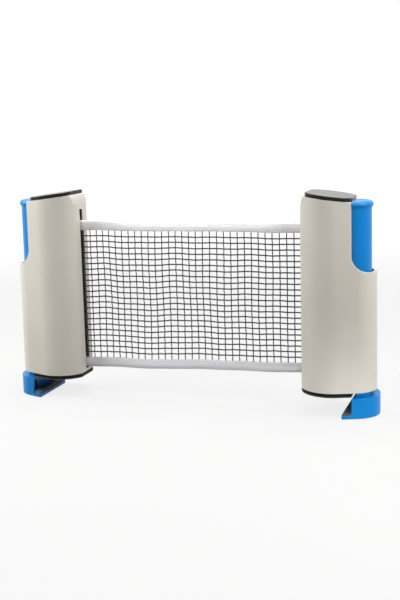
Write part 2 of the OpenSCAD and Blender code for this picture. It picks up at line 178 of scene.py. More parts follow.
class NetSetPost(bpy.types.PropertyGroup):
    """Looks of the two posts."""

    casing: colour_of("Casing", "moulded casings", (0.415, 0.393, 0.348))
    cap: colour_of("Cap", "glossy caps", (0.006, 0.0045, 0.004))
    base: colour_of("Base", "base plates", (0.004, 0.0035, 0.004))
    corner: number("Face corner", "Rounding of the flat face's upright edges, in millimetres",
                   2.0, 0.2, 4)
    edge: number("Edge", "Rounding of the moulded edges, in millimetres", 1.1, 0.1, 1.2)
    cap_corner: number("Cap corner", "Rounding of the cap's corners, in millimetres", 13.0, 4, 14)


class NetSetClamp(bpy.types.PropertyGroup):
    """Looks of the handles and jaws."""

    blue: colour_of("Blue", "handles and jaws", (0.001, 0.138, 0.390))
    rubber: colour_of("Rubber", "rubber pads", (0.050, 0.050, 0.056))
    edge: number("Edge", "Rounding of the blue edges, in millimetres", 0.7, 0.1, 1.2)
    ribs: number("Ribs", "Number of ribs on the jaw's rubber pad", 4, 2, 6)


class NetSetNet(bpy.types.PropertyGroup):
    """Looks of the net."""

    tape: colour_of("Tape", "woven tapes", (0.90, 0.89, 0.93))
    thread: colour_of("Thread", "mesh threads", (0.011, 0.009, 0.011))
    thread_width: number("Thread width", "Diameter of a thread that runs along the net",
                         0.0013, 0.0004, 0.0014, subtype="DISTANCE")
    columns: number("Columns", "Mesh gaps along the net", 36, 10, 60)
    rows: number("Rows", "Mesh gaps from tape to tape", 23, 8, 30)
    ripple: number("Ripple", "How far the slack net waves out of its plane",
                   0.0012, 0, 0.003, subtype="DISTANCE")


class NetSetStudio(bpy.types.PropertyGroup):
    """The stage."""

    floor: colour_of("Floor", "floor", (0.24, 0.24, 0.235))
    lamps: number("Lamps", "Strength of the soft lamps", 1.0, 0, 4)
    world: number("Surround", "Strength of the light all round", 1.2, 0, 2)


GROUPS = {"net_set_post": NetSetPost, "net_set_clamp": NetSetClamp,
          "net_set_net": NetSetNet, "net_set_studio": NetSetStudio}


def looks(group):
    return getattr(bpy.context.scene, "net_set_" + group)


# ---- Materials ----


class Level:
    """A number that varies from point to point; sums and products on it add Math nodes."""

    def __init__(self, nodes, socket):
        self.nodes, self.socket = nodes, socket

    def math(self, operation, *others):
        node = self.nodes.node("ShaderNodeMath", self, *others, operation=operation)
        return Level(self.nodes, node.outputs[0])

    def __add__(self, other):
        return self.math("ADD", other)

    def __mul__(self, other):
        return self.math("MULTIPLY", other)

    __radd__, __rmul__ = __add__, __mul__

    def __sub__(self, other):
        return self.math("SUBTRACT", other)

    def __rsub__(self, other):
        return self.math("MULTIPLY_ADD", -1.0, other)

    def __pow__(self, power):
        return self.math("POWER", power)

    def sine(self):
        return self.math("SINE")

    def over(self, low, high, start=0.0, end=1.0):
        """start below low, end above high, and a smooth change between them."""
        node = self.nodes.node("ShaderNodeMapRange", self, low, high, start, end,
                               interpolation_type="SMOOTHSTEP")
        return Level(self.nodes, node.outputs[0])


class Nodes:
    """A node tree, with short ways to add to it."""

    def __init__(self, tree):
        self.tree = tree

    def feed(self, socket, value):
        """Links a level or a socket to the socket, or sets a constant on it."""
        if isinstance(value, Level):
            value = value.socket
        if isinstance(value, bpy.types.NodeSocket):
            self.tree.links.new(value, socket)
        else:
            socket.default_value = value

    def node(self, kind, *values, **named):
        """Adds a node. Lower-case names are its settings, and the rest are its sockets."""
        node = self.tree.nodes.new(kind)
        for key in [name for name in named if name.islower()]:
            setattr(node, key, named.pop(key))
        for key, value in [*enumerate(values), *named.items()]:
            self.feed(node.inputs[key], value)
        return node

    def place(self, scale=(1, 1, 1), turn=(0, 0, 0)):
        """Object coordinates, stretched by scale and turned."""
        source = self.node("ShaderNodeTexCoord").outputs["Object"]
        return self.node("ShaderNodeMapping", Vector=source, Rotation=turn, Scale=scale).outputs[0]

    def axes(self, vector):
        node = self.node("ShaderNodeSeparateXYZ", vector)
        return [Level(self, out) for out in node.outputs]

    def along(self):
        """The along map: u runs along a thread or a cloth in metres, and v across it."""
        return self.axes(self.node("ShaderNodeUVMap", uv_map="along").outputs[0])[:2]

    def rays(self, first, *others):
        """1 for these kinds of rays and 0 for any other."""
        path = self.node("ShaderNodeLightPath")
        level = Level(self, path.outputs[first])
        for kind in others:
            level = level.math("MAXIMUM", path.outputs[kind])
        return level

    def noise(self, vector, scale, detail=2.0, rough=0.5):
        node = self.node("ShaderNodeTexNoise", Vector=vector, Scale=scale, Detail=detail,
                         Roughness=rough)
        return Level(self, node.outputs["Fac"])

    def blend(self, share, low, high):
        """Colour that goes from low to high as share goes from 0 to 1."""
        node = self.node("ShaderNodeMix", data_type="RGBA")
        for index, value in ((0, share), (6, low), (7, high)):
            varies = isinstance(value, (Level, bpy.types.NodeSocket))
            self.feed(node.inputs[index], value if varies else (*value, 1))
        return node.outputs[2]


class Finish(Nodes):
    """One material, built on a Principled shader."""

    def __init__(self, name, **constants):
        self.material = bpy.data.materials.new(name)
        self.material.use_nodes = True
        super().__init__(self.material.node_tree)
        self.shader = self.tree.nodes["Principled BSDF"]
        for socket, value in constants.items():
            self.shader.inputs[socket.replace("_", " ")].default_value = value

    def colour(self, socket):
        self.feed(self.shader.inputs["Base Color"], socket)
        return self

    def rough(self, level):
        self.feed(self.shader.inputs["Roughness"], level)
        return self

    def bump(self, height, depth):
        """Raises the surface by height times depth, in metres."""
        node = self.node("ShaderNodeBump", Strength=1.0, Distance=depth, Height=height)
        self.feed(self.shader.inputs["Normal"], node.outputs[0])
        return self


def shade(colour, factor):
    """The colour made darker or lighter."""
    return tuple(min(c * factor, 1.0) for c in colour)


def scuffs(finish, turn, keep):
    """Sparse fine scratches along one direction, as a level."""
    lines = finish.noise(finish.place((1, 1, 0.03), turn), 1500, 1)
    patches = finish.noise(finish.place(), 45, 2)
    return lines.over(0.62, 0.70) * patches.over(keep, keep + 0.12)


def moulded(name, colour, rough, grain, cloudy=0.05, **constants):
    """Moulded plastic: a spark-eroded grain, slow drifts of shade and sparse scuffs."""
    f = Finish(name, IOR=1.5, **constants)
    cloud = f.noise(f.place(), 22, 3)
    speck = f.noise(f.place(), 2300, 2)
    marks = scuffs(f, (0.3, 0.9, 0.4), 0.55)
    f.colour(f.blend((cloud + marks * 0.6).over(0.2, 0.9), shade(colour, 1 - cloudy),
                     shade(colour, 1 + cloudy)))
    f.rough(rough - 0.03 + cloud * 0.06 + speck * 0.05 + marks * 0.16)
    return f.bump(speck + marks * 0.5, grain)


def casing_plastic():
    """The casings' plastic, with painted shade on the slot's inner walls."""
    colour = looks("post").casing
    f = moulded("casing plastic", colour, 0.42, 0.00003)
    x, y, z = f.axes(f.place())
    deep, top = x.math("ABSOLUTE"), TABLE_Z + SLOT_HIGH * MM
    # Painted shade: the slot's inner walls past the first 0.3 mm are coloured near black for the
    # shade inside the slot
    slot = (deep.over(FLAT_X + 0.0003, FLAT_X + 0.0006)
            * (1 - deep.over(FLAT_X + 0.0027, FLAT_X + 0.003))
            * (1 - y.math("ABSOLUTE").over(0.0031, 0.0032)) * (1 - z.over(top, top + 0.0002)))
    plain = f.shader.inputs["Base Color"].links[0].from_socket
    return f.colour(f.blend(slot, plain, shade(colour, 0.12)))


def cap_gloss():
    """Polished dark plastic with faint swirls and finger marks."""
    colour = looks("post").cap
    f = Finish("cap gloss", IOR=1.54, Specular_IOR_Level=0.16)
    smear = f.noise(f.place((1, 1.7, 1)), 60, 4, 0.6)
    marks = scuffs(f, (1.57, 0.2, 0.6), 0.5)
    f.colour(f.blend(smear, shade(colour, 0.85), shade(colour, 1.25)))
    f.rough(0.16 + smear.over(0.45, 0.75) * 0.08 + marks * 0.12)
    return f.bump(smear * 0.4 + marks, 0.00001)


def rubber(name, tread):
    """Dull moulded rubber; tread is the pitch of a fine diamond tread, or 0 for none."""
    colour = looks("clamp").rubber
    f = Finish(name, IOR=1.45)
    dust = f.noise(f.place(), 55, 4, 0.65)
    crumb = f.noise(f.place(), 3200, 2)
    f.colour(f.blend(dust.over(0.35, 0.8), shade(colour, 0.8), shade(colour, 1.7)))
    f.rough(0.66 + dust * 0.2)
    height = crumb * 0.3
    if tread:
        x, y, _ = f.axes(f.place(turn=(0, 0, math.pi / 4)))
        turns = 2 * math.pi / tread
        height = height + ((x * turns).sine() * (y * turns).sine()).over(-0.2, 0.3)
    return f.bump(height, 0.0003 if tread else 0.0001)


def metal(name, colour, rough, along):
    """Plated steel with drawn or turned lines across one axis."""
    f = Finish(name, Metallic=1.0)
    lines = f.noise(f.place(tuple(0.04 if axis == along else 1 for axis in "xyz")), 2600, 2)
    tarnish = f.noise(f.place(), 90, 3, 0.6)
    f.colour(f.blend(tarnish, shade(colour, 0.82), shade(colour, 1.08)))
    f.rough(rough + lines * 0.12 + tarnish.over(0.5, 0.8) * 0.12)
    return f.bump(lines, 0.00001)


def thread_fibre():
    """Braided black thread; its pattern follows the thread."""
    colour = looks("net").thread
    f = Finish("net thread", IOR=1.5, Roughness=0.6)
    u, v = f.along()
    ply = ((u * 9000 + v * 12.566).sine() + (u * 9000 - v * 12.566).sine()) * 0.5
    f.colour(f.blend(ply.over(-1, 1), shade(colour, 0.6), shade(colour, 1.9)))
    return f.bump(ply, 0.00004)


def tape_weave(name="tape weave"):
    """Twill tape, as cloth and as the thread of its stitches."""
    colour = looks("net").tape
    f = Finish(name, IOR=1.45, Sheen_Weight=0.15)
    u, v = f.along()
    fold = (v * 1400).sine().over(-0.2, 0.2) * 2 - 1
    twill = (u * 7600 + v * 5200).sine() * 0.6 + (v * 11000).sine() * 0.4 + fold * 0.05
    soil = f.noise(f.place(), 60, 4, 0.6)
    # The lower tape is coloured greyer than the upper one, darker towards the bottom
    height_share = f.axes(f.place())[2].over(TABLE_Z + 0.02, TABLE_Z + 0.12)
    lower_tape_tone, upper_tape_tone = (
        f.blend(twill.over(-1.2, 1.0) * 0.75 + soil * 0.25, shade(colour, 0.80 * share),
                shade(colour, 1.12 * share)) for share in (0.56, 1.0))
    f.colour(f.blend(height_share, lower_tape_tone, upper_tape_tone))
    f.rough(0.72 + soil * 0.12)
    return f.bump(twill, 0.0001)


def wound_weave():
    """The net as it lies wound up: layers of black mesh seen edge to edge."""
    colour = looks("net").thread
    f = Finish("wound mesh", IOR=1.5, Roughness=0.8)
    u, v = f.along()
    grid = (u * 950).sine().over(0.55, 0.8) + (v * 1100).sine().over(0.55, 0.8)
    # Painted shade: the gaps between the threads are coloured darker, for the shade of the wound
    # layers beneath
    f.colour(f.blend(grid.over(0.1, 0.9), shade(colour, 0.5), shade(colour, 2.2)))
    return f.bump(grid, 0.0004)


MAKERS = {
    "casing": casing_plastic,
    "cap": cap_gloss,
    "base": lambda: moulded("base plastic", looks("post").base, 0.46, 0.00006, 0.25,
                            Specular_IOR_Level=0.08),
    "blue": lambda: moulded("clamp plastic", looks("clamp").blue, 0.27, 0.000012, 0.04,
                            Specular_IOR_Level=0.11, Coat_Weight=0.09, Coat_Roughness=0.12),
    "pad": lambda: rubber("base pad rubber", 0.0022),
    "cushion": lambda: rubber("jaw pad rubber", 0),
    "rod": lambda: metal("turned steel", (0.60, 0.61, 0.63), 0.22, "z"),
    "wire": lambda: metal("spring wire", (0.52, 0.53, 0.56), 0.26, "x"),
    "screw": lambda: metal("zinc plate", (0.62, 0.61, 0.58), 0.28, "x"),
    "nylon": lambda: moulded("nylon", (0.76, 0.75, 0.69), 0.48, 0.00004),
    "bush": lambda: moulded("black nylon", (0.02, 0.02, 0.022), 0.5, 0.00004),
    "thread": thread_fibre,
    "tape": tape_weave,
    "wound": wound_weave,
    "stitch": lambda: tape_weave("stitching"),
}
FINISHES = {}


def wear(obj, key):
    """Gives the object one material, which is made once."""
    if key not in FINISHES:
        FINISHES[key] = MAKERS[key]().material
    obj.data.materials.clear()
    obj.data.materials.append(FINISHES[key])


# ---- Modelling ----


def pick(obj):
    """Selects the object and no other."""
    bpy.ops.object.select_all(action="DESELECT")
    obj.select_set(True)
    bpy.context.view_layer.objects.active = obj


class Editing:
    """Edit mode with all of one mesh selected, for the length of a with block."""

    def __init__(self, obj):
        pick(obj)

    def __enter__(self):
        bpy.ops.object.mode_set(mode="EDIT")
        bpy.ops.mesh.select_all(action="SELECT")

    def __exit__(self, *error):
        bpy.ops.object.mode_set(mode="OBJECT")


def face_outwards():
    """Turns the faces of the mesh in edit mode outwards."""
    bpy.ops.mesh.select_all(action="SELECT")
    bpy.ops.mesh.normals_make_consistent(inside=False)


def modify(obj, kind, **settings):
    """Applies one modifier to the object."""
    pick(obj)
    modifier = obj.modifiers.new(kind.lower(), kind)
    for key, value in settings.items():
        setattr(modifier, key, value)
    bpy.ops.object.modifier_apply(modifier=modifier.name)


def bake_transform():
    bpy.ops.object.transform_apply(location=True, rotation=True, scale=True)


def sheet_of(name, points):
    """A flat face with the points as its corners."""
    bpy.ops.mesh.primitive_circle_add(vertices=len(points), fill_type="NGON")
    obj = bpy.context.object
    obj.name = name
    for vertex, point in zip(obj.data.vertices, points):
        vertex.co = point
    return obj


def block(name, outline, low, high, upright="z"):
    """A block with the outline as its section, from low to high along z, or along y."""
    standing = upright == "z"
    obj = sheet_of(name, [(a, b, low) if standing else (a, low, b) for a, b in outline])
    with Editing(obj):
        bpy.ops.mesh.extrude_region_move(TRANSFORM_OT_translate={
            "value": (0, 0, high - low) if standing else (0, high - low, 0)})
        face_outwards()
    return obj


def bar(name, place, radius, length, sides=32, turn=0.0):
    """A round bar, upright or turned about y."""
    bpy.ops.mesh.primitive_cylinder_add(vertices=sides, radius=radius, depth=length,
                                        location=place, rotation=(0, turn, 0))
    bake_transform()
    bpy.context.object.name = name
    return bpy.context.object


def pillar(name, x, y, radius, low, high, sides=32):
    return bar(name, (x, y, (low + high) / 2), radius, high - low, sides)


def screw_bars(radius, start, end):
    """Bars along x at the two screws that hold the handle to the jaw's legs."""
    return [bar("screw hole", ((start + end) / 2, sign * SCREW_Y, SCREW_Z), radius,
                end - start, turn=math.pi / 2) for sign in (-1, 1)]


def combine(obj, operation, tools):
    """Cuts or adds the tools' shapes, and removes the tools."""
    for tool in tools:
        modify(obj, "BOOLEAN", operation=operation, object=tool, solver="EXACT")
        bpy.data.meshes.remove(tool.data)
    return obj


def cut(obj, *tools):
    return combine(obj, "DIFFERENCE", tools)


def add(obj, *tools):
    return combine(obj, "UNION", tools)


def slice_off(obj, point, outwards):
    """Removes what lies beyond a plane and closes the cut."""
    with Editing(obj):
        bpy.ops.mesh.bisect(plane_co=point, plane_no=Vector(outwards).normalized(),
                            use_fill=True, clear_outer=True)


def round_edges(obj, wanted, width, segments):
    """Rounds the edges that wanted(a, b) accepts, where a and b are an edge's ends."""
    with Editing(obj):
        bpy.ops.mesh.select_mode(type="EDGE")
        bpy.ops.mesh.select_all(action="DESELECT")
    points = [v.co for v in obj.data.vertices]
    for edge in obj.data.edges:
        edge.select = bool(wanted(*(points[end] for end in edge.vertices)))
    bpy.ops.object.mode_set(mode="EDIT")
    bpy.ops.mesh.bevel(offset=width, segments=segments, affect="EDGES", clamp_overlap=True)
    bpy.ops.object.mode_set(mode="OBJECT")


def soften(obj, width, segments=3, angle=35):
    """Rounds every sharp edge a little."""
    modify(obj, "BEVEL", width=width, segments=segments, limit_method="ANGLE",
           angle_limit=math.radians(angle))


def tidy(obj, smooth):
    """Merges doubles, turns faces outwards and shades the faces."""
    with Editing(obj):
        bpy.ops.mesh.remove_doubles(threshold=1e-7)
        face_outwards()
    bpy.ops.object.shade_smooth_by_angle(angle=math.radians(smooth))
    modify(obj, "WEIGHTED_NORMAL", keep_sharp=True)


def set_on_posts(piece, suffix, body, node, material, smooth=32):
    """Puts a piece that is modelled in a post's frame on both posts, mirrored on the left."""
    for side, sign in SIDES.items():
        obj = bpy.data.objects.new(f"{side}_{suffix}", piece.data.copy())
        obj.data.name = obj.name
        bpy.context.scene.collection.objects.link(obj)
        pick(obj)
        obj.scale = (sign * MM, MM, MM)
        obj.location = (sign * FLAT_X, 0, TABLE_Z)
        bake_transform()
        tidy(obj, smooth)
        wear(obj, material)
        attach(obj, f"{side}_{body}")
        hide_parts(f"{side}_{node}")
    bpy.data.meshes.remove(piece.data)


def arc(centre, radius, first, last, count):
    """Points on a circle from one angle to another."""
    return [(centre[0] + radius * math.cos(t), centre[1] + radius * math.sin(t))
            for t in np.linspace(first, last, count)]


def joins(inset):
    """Where the outline, moved in by inset, leaves the barrel and where it meets the end."""
    return BARREL_X + (BARREL_RADIUS - inset) * TAPER, END_CENTRE + (END_RADIUS - inset) * TAPER


def half_width(x, inset):
    """Half the width of the post's outline, moved in by inset, at distance x."""
    leave, meet = joins(inset)
    if leave <= x < meet:
        return (BARREL_RADIUS - inset - (x - BARREL_X) * TAPER) / TAPER_COS
    centre, radius = (BARREL_X, BARREL_RADIUS) if x < leave else (END_CENTRE, END_RADIUS)
    return math.sqrt(max((radius - inset) ** 2 - (x - centre) ** 2, 0))


def fillet(x, radius, inset, outwards):
    """Arc that rounds the outline's corner at x, from the straight end to the side."""
    cx = x - outwards * radius
    cy = half_width(cx, inset + radius)
    leave, meet = joins(inset + radius)
    last = math.acos(TAPER)
    if cx < leave:
        last = math.atan2(cy, cx - BARREL_X)
    elif cx > meet:
        last = math.atan2(cy, cx - END_CENTRE)
    return arc((cx, cy), radius, 0.0 if outwards > 0 else math.pi, last, 3 + round(2 * radius))


def side_points(inset, start, end):
    """Points along the post's side, close together where it is round."""
    leave, meet = joins(inset)
    xs = [start]
    for centre, radius, low, high in ((BARREL_X, BARREL_RADIUS - inset, start, leave),
                                      (END_CENTRE, END_RADIUS - inset, meet, end)):
        first, last = max(start, low), min(end, high)
        if first < last:
            xs += [x for x, _ in arc((centre, 0), radius, math.acos((first - centre) / radius),
                                     math.acos(min((last - centre) / radius, 1)), 36)]
    xs += [end]
    return [(x, half_width(x, inset)) for x, before in zip(xs, [start - 1, *xs]) if x - before > 1e-4]


def post_outline(inset, start, end, start_round=0.0, end_round=0.0):
    """Points round the post's outline between two distances from the flat face."""
    head = fillet(start, start_round, inset, -1) if start_round else []
    tail = fillet(end, end_round, inset, 1)[::-1] if end_round else []
    side = side_points(inset, head[-1][0] if head else start, tail[0][0] if tail else end)
    far = head[:-1] + side + tail[1:]
    return far + [(x, -y) for x, y in reversed(far) if y > 1e-6]


def end_outline(radius, start):
    """Points of the part of a disc about the round end's centre that lies beyond start."""
    half = math.acos((start - END_CENTRE) / radius)
    return arc((END_CENTRE, 0), radius, half, -half, 56)


def strip(half, start=0, end=90):
    """Outline of a strip along x in the post's middle plane."""
    return [(start, -half), (end, -half), (end, half), (start, half)]


# ---- Posts ----


def boss_places():
    """The four corners of the roller's chamber, where the base screws go."""
    for x in (BOSS_X, NOTCH_X - BOSS_X):
        for sign in (-1, 1):
            yield x, sign * (half_width(x, WALL) - BOSS_RADIUS + 0.2)


def lid_rounding(inset):
    """Rounding of the lid's two pairs of corners, moved in by inset."""
    corner = looks("post").cap_corner
    return corner - inset, corner + 1 - inset


class NETSET_OT_casings(bpy.types.Operator):
    """Model the two casings"""

    bl_idname = "netset.casings"
    bl_label = "Casings"

    def execute(self, context):
        size = looks("post")
        shell = block("casing", post_outline(0, 0, POST_LENGTH, size.corner), CASE_BOTTOM,
                      CASE_TOP + 5)
        slice_off(shell, (SHOULDER_DEPTH, 0, CASE_TOP), (math.sin(TOP_SLOPE), 0, math.cos(TOP_SLOPE)))
        # The flat face leans back to the cap in a soft curve
        lean = [(SHOULDER_DEPTH * (1 - math.cos(t)),
                 CASE_TOP - SHOULDER_HEIGHT * (1 - math.sin(t)))
                for t in np.linspace(0, math.pi / 2, 14)]
        shoulder = [(-20, lean[0][1]), *lean, (SHOULDER_DEPTH, FAR), (-20, FAR)]
        notch = [(NOTCH_X, FAR),
                 *arc((NOTCH_X + NOTCH_RADIUS, NOTCH_FLOOR + NOTCH_RADIUS), NOTCH_RADIUS,
                      math.pi, 1.5 * math.pi, 22),
                 (FAR, NOTCH_FLOOR), (FAR, FAR)]
        chamber = block("chamber", post_outline(WALL, WALL, NOTCH_X - WALL),
                        CASE_BOTTOM - 2, LID_FLOOR - LID_SHELF)
        cut(chamber, *(pillar("boss", x, y, BOSS_RADIUS, 0, BOSS_TOP) for x, y in boss_places()))
        cut(shell, chamber,
            block("lid space", post_outline(WALL, SHOULDER_DEPTH + WALL, NOTCH_X - WALL,
                                            *lid_rounding(WALL)), LID_FLOOR, FAR),
            block("channel", end_outline(CHANNEL_RADIUS, NOTCH_X), 0, COLLAR_TOP + GAP),
            block("ledge", end_outline(GRIP_RADIUS + SLIDE, NOTCH_X), 0, FAR),
            block("upper channel", end_outline(CHANNEL_RADIUS, NOTCH_X),
                  COLLAR_TOP + GAP + LEDGE, FAR),
            block("shoulder", shoulder, -60, 60, "y"),
            block("notch", notch, -60, 60, "y"),
            block("slot", strip(SLOT_HALF, -2, WALL + 0.4), SLOT_LOW, SLOT_HIGH),
            pillar("bearing", ROLLER_X, 0, AXLE_HOLE, LID_FLOOR - LID_SHELF - 1, FAR))
        soften(shell, size.edge)
        set_on_posts(shell, "casing_shell", "post", "casing", "casing")
        return {"FINISHED"}


class NETSET_OT_caps(bpy.types.Operator):
    """Model the two sloping caps"""

    bl_idname = "netset.caps"
    bl_label = "Caps"

    def execute(self, context):
        up = Vector((math.sin(TOP_SLOPE), 0, math.cos(TOP_SLOPE)))
        seat = Vector((SHOULDER_DEPTH, 0, CASE_TOP))
        top = seat + Vector((0, 0, LID_THICKNESS))
        lid = block("cap", post_outline(LID_EDGE, SHOULDER_DEPTH, NOTCH_X - GAP,
                                        *lid_rounding(0)), LID_FLOOR, FAR)
        slice_off(lid, top, up)
        slice_off(lid, seat, -up)
        # The rim of the top face is well rounded
        round_edges(lid, lambda a, b: all((p - top).dot(up) > -0.01 for p in (a, b)), 0.7, 4)
        ring, bore = (
            block("skirt", post_outline(inset, SHOULDER_DEPTH + inset, NOTCH_X - inset,
                                        *lid_rounding(inset)), low, FAR)
            for inset, low in ((WALL + GAP, LID_FLOOR + GAP), (WALL + 2.1, 100)))
        skirt = cut(ring, bore)
        slice_off(skirt, seat + Vector((0, 0, 1.5)), up)
        slice_off(skirt, seat - Vector((0, 0, 5)), -up)
        add(lid, skirt)
        soften(lid, 0.25, 2, 50)
        set_on_posts(lid, "cap_lid", "post", "cap", "cap")
        return {"FINISHED"}


class NETSET_OT_bases(bpy.types.Operator):
    """Model the base plates with their rubber pads"""

    bl_idname = "netset.bases"
    bl_label = "Bases"

    def execute(self, context):
        low, high = PAD_HIGH.z, CASE_BOTTOM
        end, corner = JAW_STOP - 0.5, looks("post").corner
        plate = block("base plate", post_outline(0, 0, end, corner), low, high)
        add(plate, block("tongue", strip(TONGUE_HALF, ROLLER_X, PLATE_HIGH.x), low, high),
            pillar("axle boss", ROLLER_X, 0, AXLE_BOSS, high - 1, PLATE_HIGH.z, 48))
        cut(plate, *(pillar("screw hole", x, y, HEAD_RADIUS, -1, low + HEAD_DEPTH)
                     for x, y in boss_places()),
            *(pillar("seat", x, 0, radius, low + SEAT_FLOOR, 40)
              for x, radius in ((ROLLER_X, AXLE_HOLE), (ROD_X, ROD_HOLE))))
        soften(plate, 0.35)
        set_on_posts(plate, "base_foot", "post", "base_plate", "base")
        pad = block("base pad", post_outline(SLIDE, SLIDE, end - SLIDE, corner), PAD_LOW.z,
                    PAD_HIGH.z)
        soften(pad, 0.3, 2)
        set_on_posts(pad, "base_tread", "post", "base_pad", "pad")
        return {"FINISHED"}


# ---- Clamps ----


class NETSET_OT_handles(bpy.types.Operator):
    """Model the two thumb handles"""

    bl_idname = "netset.handles"
    bl_label = "Handles"

    def execute(self, context):
        top, foot, inner = GRIP_HIGH.z, GRIP_LOW.z, 1.5
        # The flange is a rolled lip round a slightly dished top
        roll, neck = FLANGE / 2, top - FLANGE
        lip = arc((GRIP_RADIUS + 1.5 - roll, top - roll), roll, math.radians(-52), math.pi / 2, 14)
        brim, collar = lip[-1][0], CHANNEL_RADIUS - SLIDE
        profile = [(inner, foot), (collar, foot), (collar, COLLAR_TOP),
                   (GRIP_RADIUS, COLLAR_TOP), (GRIP_RADIUS, neck - 0.9),
                   (GRIP_RADIUS + 0.1, neck - 0.2), *lip,
                   (brim - 1, top - 0.15), (brim - 2, top - 0.5), (inner, top - 0.7)]
        start = math.radians(86)
        grip = sheet_of("handle", [(END_CENTRE + r * math.cos(start), r * math.sin(start), z)
                                   for r, z in profile])
        with Editing(grip):
            bpy.ops.mesh.spin(steps=72, angle=2 * start, center=(END_CENTRE, 0, 0), axis=(0, 0, 1))
            face_outwards()
        slice_off(grip, (GRIP_BACK, 0, 0), (-1, 0, 0))
        hollow = block("hollow", end_outline(POCKET_RADIUS, GRIP_BACK - 1), POCKET_TOP + 2.5,
                       top - 2.5)
        cut(hollow, block("rib", strip(1.25), 0, FAR))
        cut(grip, hollow,
            block("pocket", end_outline(POCKET_RADIUS, POCKET_BACK), 0, POCKET_TOP),
            *screw_bars(HEAD_RADIUS, GRIP_BACK - 1, GRIP_BACK + HEAD_DEPTH))
        soften(grip, looks("clamp").edge, 4)
        set_on_posts(grip, "thumb_grip", "clamp", "handle", "blue", 34)
        return {"FINISHED"}


def lay_cushions(floor):
    """A rubber pad with ribs across it that grip the table's underside."""
    top, ribs, inset = CUSHION_HIGH.z, looks("clamp").ribs, 1 - JAW_PROUD
    pad = block("jaw pad", post_outline(inset, LIP_X + 1, JAW_STOP), floor, top - 1)
    start = CUSHION_LOW.x + 0.4
    pitch = (JAW_STOP - CUSHION_LOW.x - 0.8) / ribs
    for i in range(ribs):
        x = start + i * pitch
        half = half_width(x + pitch, inset) - 0.6
        add(pad, block("rib", strip(half, x, x + pitch * 0.55), top - 1.4, top))
    soften(pad, 0.25, 2)
    set_on_posts(pad, "jaw_cushion", "clamp", "jaw_pad", "cushion")


class NETSET_OT_jaws(bpy.types.Operator):
    """Model the two clamp jaws and their ribbed rubber pads"""

    bl_idname = "netset.jaws"
    bl_label = "Jaws"

    def execute(self, context):
        floor, reach = JAW_BOTTOM + JAW_WALL, POST_LENGTH + JAW_PROUD
        jaw = block("jaw", post_outline(-JAW_PROUD, JAW_STOP, reach), JAW_BOTTOM, JAW_TOP)
        round_edges(jaw, lambda a, b: a.z == b.z and min(a.x, b.x) > JAW_STOP - 0.01
                    and (a - b).length < 5, 1.4, 5)
        cut(jaw, block("hollow", post_outline(JAW_WALL - JAW_PROUD, JAW_STOP - 1,
                                              reach - JAW_WALL), floor, JAW_TOP - JAW_WALL))
        legs = block("legs", end_outline(LEG_RADIUS, LEG_X), floor - 1, LEG_TOP)
        cut(legs, block("leg way", strip(LEG_Y), 0, FAR),
            block("leg gap", strip(LEG_Y), -FAR, floor - 0.5))
        add(jaw, block("lip", post_outline(-JAW_PROUD, LIP_X, JAW_STOP + 1, 1.5), JAW_BOTTOM,
                       floor),
            block("neck", end_outline(NECK_RADIUS, LEG_X), JAW_TOP - 1, NECK_TOP), legs)
        cut(jaw, block("spring way", strip(LEG_Y), JAW_TOP, FAR),
            *screw_bars(SCREW_RADIUS, 40, LEG_X + 3.1))
        soften(jaw, looks("clamp").edge * 0.7)
        set_on_posts(jaw, "jaw_shell", "clamp", "jaw", "blue", 34)
        lay_cushions(floor)
        return {"FINISHED"}


class NETSET_OT_springs(bpy.types.Operator):
    """Wind the two clamp springs as coils of one set length"""

    bl_idname = "netset.springs"
    bl_label = "Clamp springs"

    def execute(self, context):
        height = SPRING_HIGH.z - SPRING_LOW.z
        bpy.ops.mesh.primitive_circle_add(
            vertices=8, radius=WIRE_RADIUS, rotation=(math.pi / 2, 0, 0),
            location=(SPRING_HIGH.x - ROD_X - WIRE_RADIUS, 0, WIRE_RADIUS))
        bake_transform()
        coil = bpy.context.object
        modify(coil, "SCREW", steps=24, render_steps=24, iterations=WIRE_TURNS,
               screw_offset=(height - 2 * WIRE_RADIUS) / WIRE_TURNS, use_merge_vertices=False)
        with Editing(coil):
            bpy.ops.mesh.fill_holes(sides=8)
            bpy.ops.mesh.select_all(action="SELECT")
            bpy.ops.transform.translate(value=(ROD_X, 0, SPRING_LOW.z))
        set_on_posts(coil, "spring_coil", "post", "clamp_spring", "wire", 60)
        for side, sign in SIDES.items():
            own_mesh(bpy.data.objects[f"{side}_spring_coil"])
        return {"FINISHED"}


class NETSET_OT_fittings(bpy.types.Operator):
    """Finish the screws, rods and the roller's parts"""

    bl_idname = "netset.fittings"
    bl_label = "Fittings"

    def execute(self, context):
        finishes = {"roller_axle": "rod", "axle_clip": "screw", "roller_core": "nylon",
                    "roller_bushes": "bush", "rewind_spring": "wire", "net_anchor_bar": "rod"}
        for side in SIDES:
            finishes.update({f"{side}_base_screws": "screw", f"{side}_jaw_screws": "screw",
                             f"{side}_spring_rod": "rod"})
        for node, key in finishes.items():
            wear(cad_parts[node], key)
        return {"FINISHED"}


# ---- Net ----


def net_mesh_object(name, points, faces, along, key):
    """A mesh object from points and faces, with its along map and its finish."""
    mesh = bpy.data.meshes.new(name)
    mesh.from_pydata([tuple(p) for p in points], [], [tuple(f) for f in faces])
    layer = mesh.uv_layers.new(name="along")
    corners = np.empty(len(mesh.loops), int)
    mesh.loops.foreach_get("vertex_index", corners)
    layer.data.foreach_set("uv", np.asarray(along, float)[corners].ravel())
    mesh.polygons.foreach_set("use_smooth", [True] * len(mesh.polygons))
    mesh.update()
    obj = bpy.data.objects.new(name, mesh)
    bpy.context.scene.collection.objects.link(obj)
    wear(obj, key)
    return obj


def steps_of(path):
    """Lengths of a path's pieces."""
    return np.linalg.norm(np.diff(np.asarray(path), axis=0), axis=1)


def ring_faces(rings, count, first=0):
    """Faces between rings of points that follow one another."""
    return [(a + j, b, b + count, a + j + count)
            for a in range(first, first + (rings - 1) * count, count)
            for j, b in zip(range(count), (*range(a + 1, a + count), a))]


